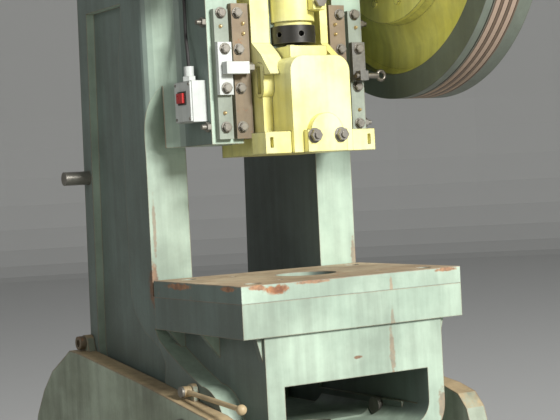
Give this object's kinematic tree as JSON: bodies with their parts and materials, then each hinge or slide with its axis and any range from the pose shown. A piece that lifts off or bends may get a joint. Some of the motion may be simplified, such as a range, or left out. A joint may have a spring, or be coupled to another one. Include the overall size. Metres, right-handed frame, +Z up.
{
  "type": "mechanical stamping press",
  "caption": "Open back inclinable stamping press with bolster, guided slide, pitman, crankshaft, flywheel driven by belts from a motor, and two leg castings.",
  "frame": {"origin": "centre of the pattern of anchor holes in the feet, on the floor", "axes": "+Z up, +Y to the back of the press, +X to the right of someone who faces its bolster"},
  "size_m": [0.868, 1.393, 2.086],
  "materials": {
    "frame_green": "aged enamel",
    "leg_green": "worn enamel",
    "yellow_paint": "aged safety enamel",
    "plate_rust": "oiled, surface rust",
    "bright_steel": "machined",
    "dark_steel": "oily",
    "lever_tan": "worn",
    "bronze": "machined",
    "box_white": "satin",
    "button_red": "gloss",
    "motor_grey": "satin",
    "cable_rubber": "matt",
    "belt_rubber": "dusty"
  },
  "bodies": {
    "stand": {"left_leg": "leg_green", "right_leg": "leg_green", "front_tie_rod": "dark_steel", "rear_tie_rod": "dark_steel", "pivot_bolts": "bright_steel", "rest_pins": "plate_rust", "lever_stud": "bright_steel"},
    "frame": {"frame": "frame_green", "bolster": "plate_rust", "bolster_bolts": "dark_steel", "gib_outer_left": "frame_green", "gib_outer_right": "frame_green", "gib_inner_left": "plate_rust", "gib_inner_right": "plate_rust", "gib_bolts": "bright_steel", "gib_adjusters": "bright_steel", "knockout_bracket_left": "box_white", "knockout_bracket_right": "bright_steel", "knockout_rod": "bright_steel", "bearing_cap_left": "frame_green", "bearing_cap_right": "frame_green", "cap_bolts": "dark_steel", "main_bush_left": "bronze", "main_bush_right": "bronze", "switch_box": "box_white", "cable_gland": "box_white", "brake_band": "dark_steel", "brake_bolt": "bright_steel", "brake_spring": "dark_steel", "motor_base": "frame_green", "motor": "motor_grey", "switch_cable": "cable_rubber", "drive_belts": "belt_rubber", "incline_bolts": "bright_steel", "lifting_studs": "bright_steel", "latch_stud": "dark_steel", "trip_solenoid": "dark_steel"},
    "crank": {"crankshaft": "bright_steel", "brake_drum": "bright_steel", "clutch_collar": "bright_steel", "end_collar": "bright_steel"},
    "wheel": {"flywheel": "yellow_paint", "flywheel_bush": "bronze", "hub_plate": "yellow_paint", "hub_bolts": "yellow_paint"},
    "motor_rotor": {"motor_pulley": "dark_steel"},
    "connecting_rod": {"pitman": "yellow_paint", "pitman_cap": "yellow_paint", "pitman_bolts": "bright_steel"},
    "screw": {"adjusting_screw": "dark_steel"},
    "ram": {"slide": "yellow_paint", "ball_cap": "yellow_paint", "ball_cap_bolts": "yellow_paint", "die_clamp": "yellow_paint", "clamp_studs": "bright_steel"},
    "latch": {"clutch_latch": "bright_steel"},
    "plunger": {"solenoid_plunger": "bright_steel"},
    "lever": {"hand_lever": "lever_tan"},
    "button": {"switch_button": "button_red"}
  },
  "joints": [
    {"name": "frame_tilt", "type": "hinge", "parent": "stand", "child": "frame", "pos_m": [0, -0.325, 0.475], "axis": [-1, 0, 0], "range_deg": [0, 25]},
    {"name": "crank_turn", "type": "hinge", "parent": "frame", "child": "crank", "pos_m": [0, -0.325, 1.663], "axis": [-1, 0, 0], "range_deg": [0, 180]},
    {"name": "flywheel_spin", "type": "hinge", "parent": "frame", "child": "wheel", "pos_m": [0.376, -0.325, 1.663], "axis": [-1, 0, 0], "continuous": true},
    {"name": "motor_spin", "type": "hinge", "parent": "frame", "child": "motor_rotor", "pos_m": [0.369, 0.25, 1.74], "axis": [-1, 0, 0], "continuous": true},
    {"name": "pitman_swing", "type": "hinge", "parent": "crank", "child": "connecting_rod", "pos_m": [0, -0.325, 1.688], "axis": [-1, 0, 0], "range_deg": [-180, 0]},
    {"name": "screw_turn", "type": "hinge", "parent": "connecting_rod", "child": "screw", "pos_m": [0, -0.325, 1.397], "axis": [0, 0, 1], "continuous": true},
    {"name": "slide_stroke", "type": "slide", "parent": "frame", "child": "ram", "axis": [0, 0, -1], "range_m": [0, 0.05]},
    {"name": "latch_release", "type": "hinge", "parent": "frame", "child": "latch", "pos_m": [0.249, 0.02, 1.61], "axis": [1, 0, 0], "range_deg": [0, 3], "stiffness_Nm_per_rad": 200, "springref_deg": -3.44},
    {"name": "plunger_lift", "type": "slide", "parent": "frame", "child": "plunger", "axis": [0, 0, 1], "range_m": [0, 0.006]},
    {"name": "lever_swing", "type": "hinge", "parent": "stand", "child": "lever", "pos_m": [-0.327, -0.295, 0.568], "axis": [-1, 0, 0], "range_deg": [0, 45]},
    {"name": "button_press", "type": "slide", "parent": "frame", "child": "button", "axis": [1, 0, 0], "range_m": [0, 0.006], "stiffness_N_per_m": 800, "springref_m": -0.002}
  ],
  "couplings": [
    {"joint": "motor_spin", "follows": "flywheel_spin", "ratio": 6.0253},
    {"joint": "pitman_swing", "follows": "crank_turn", "ratio": -1},
    {"joint": "slide_stroke", "follows": "crank_turn", "m_per_rad": 0.015915},
    {"joint": "plunger_lift", "follows": "latch_release", "m_per_rad": 0.11}
  ]
}
